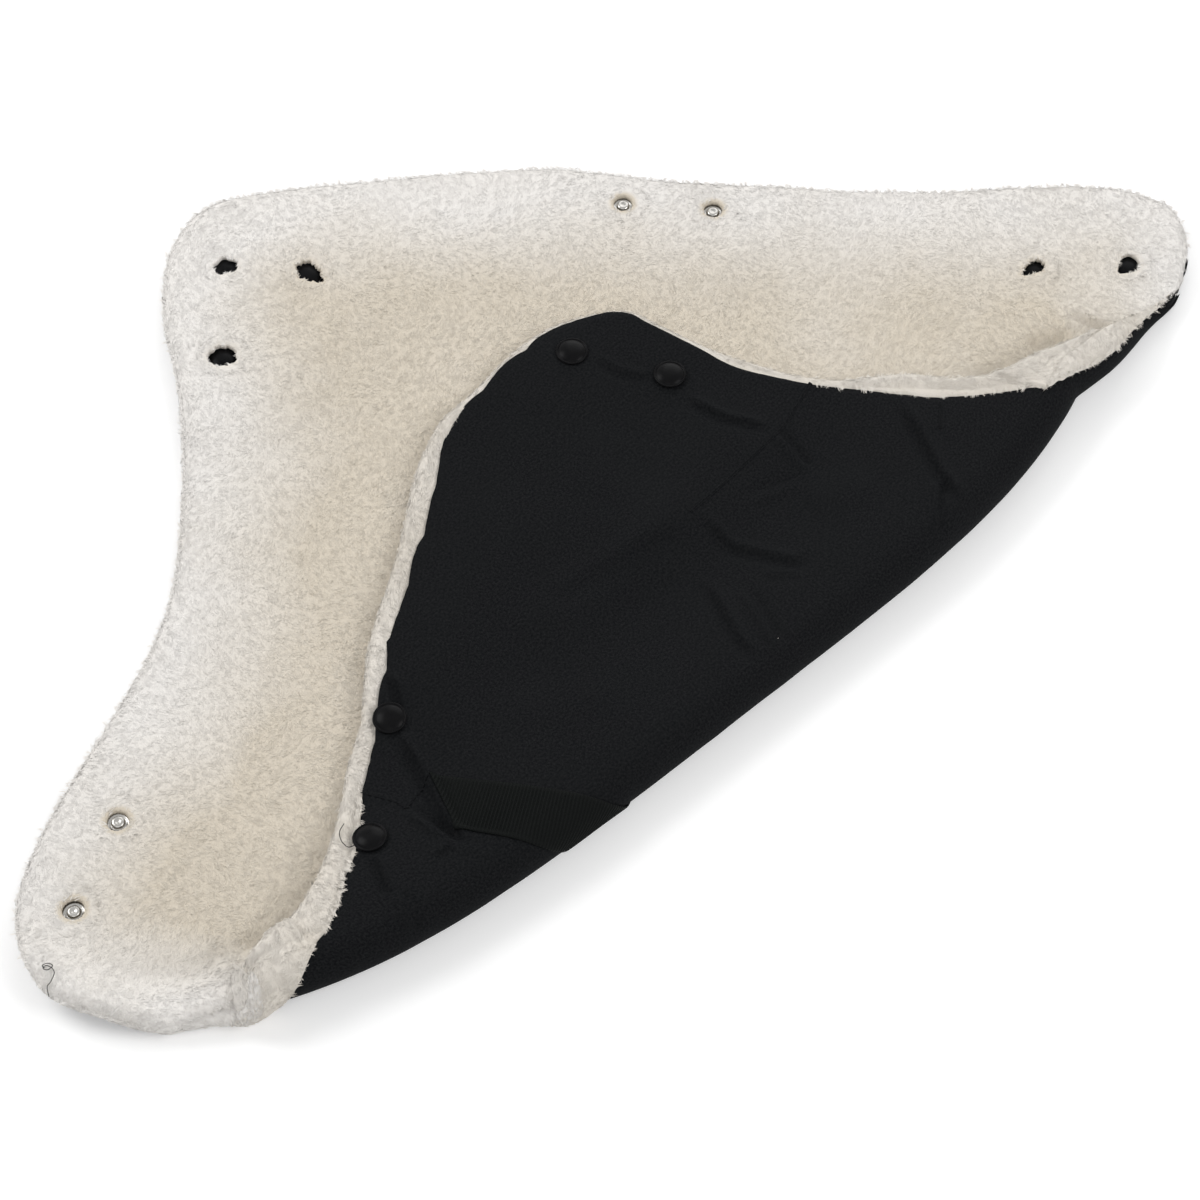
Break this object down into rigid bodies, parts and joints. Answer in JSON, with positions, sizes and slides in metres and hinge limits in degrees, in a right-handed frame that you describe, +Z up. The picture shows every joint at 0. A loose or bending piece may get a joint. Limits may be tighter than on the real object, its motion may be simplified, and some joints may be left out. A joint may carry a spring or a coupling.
{
  "type": "stroller hand muff",
  "caption": "Hand muff for a stroller handle, unsnapped and laid flat: pile lining up, woven shell under, one corner turned back, snap fasteners along its edges.",
  "frame": {"origin": "on the ground under the middle of the laid-out sheet", "axes": "+X towards the edge where the turned corner's fold ends at the right, +Y towards the straight edge with the centre studs, +Z up out of the pile"},
  "size_m": [0.521, 0.4525, 0.0277],
  "materials": {
    "pile_lining": "cream clumped pile",
    "woven_shell": "black plain weave, water repellent",
    "webbing": "black ribbed webbing",
    "snap_cap": "black lacquered cap",
    "snap_metal": "nickel plated"
  },
  "bodies": {
    "base": {"base_lining": "pile_lining", "base_shell": "woven_shell", "fold_lining": "pile_lining", "fold_shell": "woven_shell", "fold_band": "webbing", "cap_top_left_1": "snap_cap", "socket_top_left_1": "snap_metal", "cap_top_left_2": "snap_cap", "socket_top_left_2": "snap_metal", "cap_top_left_3": "snap_cap", "socket_top_left_3": "snap_metal", "cap_top_right_1": "snap_cap", "socket_top_right_1": "snap_metal", "cap_top_right_2": "snap_cap", "socket_top_right_2": "snap_metal", "cap_top_centre_1": "snap_cap", "stud_top_centre_1": "snap_metal", "cap_top_centre_2": "snap_cap", "stud_top_centre_2": "snap_metal", "cap_bottom_left_1": "snap_cap", "stud_bottom_left_1": "snap_metal", "cap_bottom_left_2": "snap_cap", "stud_bottom_left_2": "snap_metal"},
    "flap": {"flap_lining": "pile_lining", "flap_shell": "woven_shell", "webbing_band": "webbing", "cap_tip_1": "snap_cap", "stud_tip_1": "snap_metal", "cap_tip_2": "snap_cap", "stud_tip_2": "snap_metal", "cap_side_1": "snap_cap", "socket_side_1": "snap_metal", "cap_side_2": "snap_cap", "socket_side_2": "snap_metal"}
  },
  "joints": [
    {"name": "corner_fold", "type": "hinge", "parent": "base", "child": "flap", "pos_m": [0.01904, -0.05273, 0.01385], "axis": [0.7547, 0.6561, 0], "range_deg": [0, 180], "deforming": ["fold_shell", "fold_lining", "fold_band"]}
  ]
}
